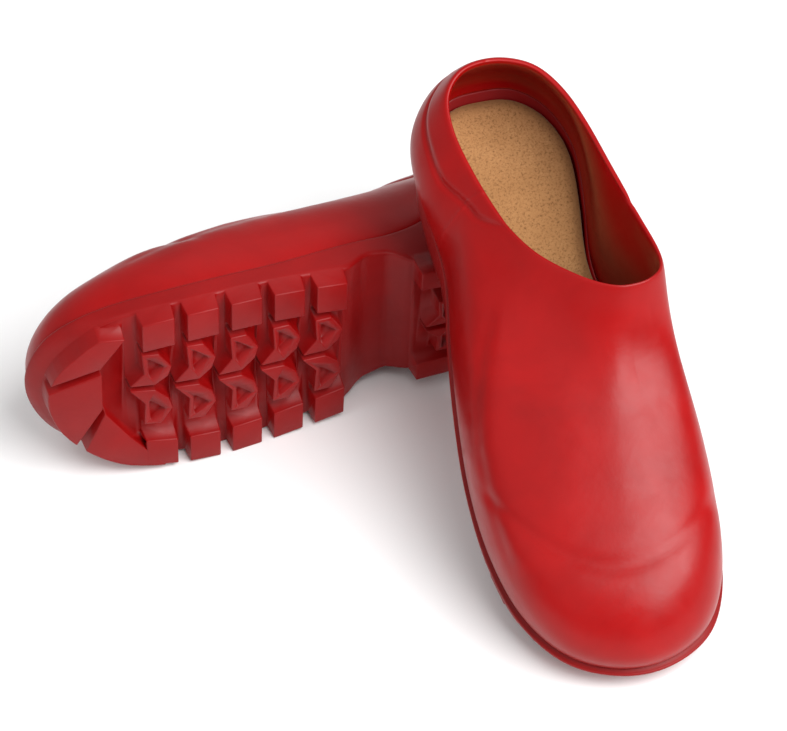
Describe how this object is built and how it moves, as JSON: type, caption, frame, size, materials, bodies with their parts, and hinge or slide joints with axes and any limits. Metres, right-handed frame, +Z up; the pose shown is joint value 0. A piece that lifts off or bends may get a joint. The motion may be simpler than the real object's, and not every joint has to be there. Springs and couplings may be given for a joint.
{
  "type": "moulded clog pair",
  "caption": "Pair of closed work clogs with deep-tread soles, one-piece moulded uppers and lift-out cork footbeds, one propped on its tipped mate.",
  "frame": {"origin": "middle of the floor area the pair covers, on the floor", "axes": "+Z up, the propped right clog's toe towards -Y, the tipped left clog's toe towards -X"},
  "size_m": [0.3102, 0.333, 0.1982],
  "materials": {
    "red_upper": "satin, self-coloured moulded polyurethane",
    "red_sole": "matt, self-coloured moulded polyurethane",
    "cork": "pressed cork, matt",
    "suede": "suede nap, undyed tan"
  },
  "bodies": {
    "left_clog": {"left_outsole": "red_sole", "left_upper": "red_upper"},
    "right_clog": {"right_outsole": "red_sole", "right_upper": "red_upper"},
    "right_footbed": {"right_footbed_cork": "cork", "right_footbed_cover": "suede"},
    "left_footbed": {"left_footbed_cork": "cork", "left_footbed_cover": "suede"}
  },
  "joints": [
    {"name": "right_clog_lift", "type": "slide", "parent": "left_clog", "child": "right_clog", "axis": [0, 0, 1], "range_m": [0, 0.12]},
    {"name": "right_footbed_tip", "type": "hinge", "parent": "right_clog", "child": "right_footbed", "pos_m": [0.09927, -0.15418, 0.00775], "axis": [1, 0, 0], "range_deg": [0, 3.5]},
    {"name": "left_footbed_tip", "type": "hinge", "parent": "left_clog", "child": "left_footbed", "pos_m": [-0.1465, 0.05226, 0.06529], "axis": [0.1236, -0.0968, 0.9876], "range_deg": [0, 3.5]}
  ]
}
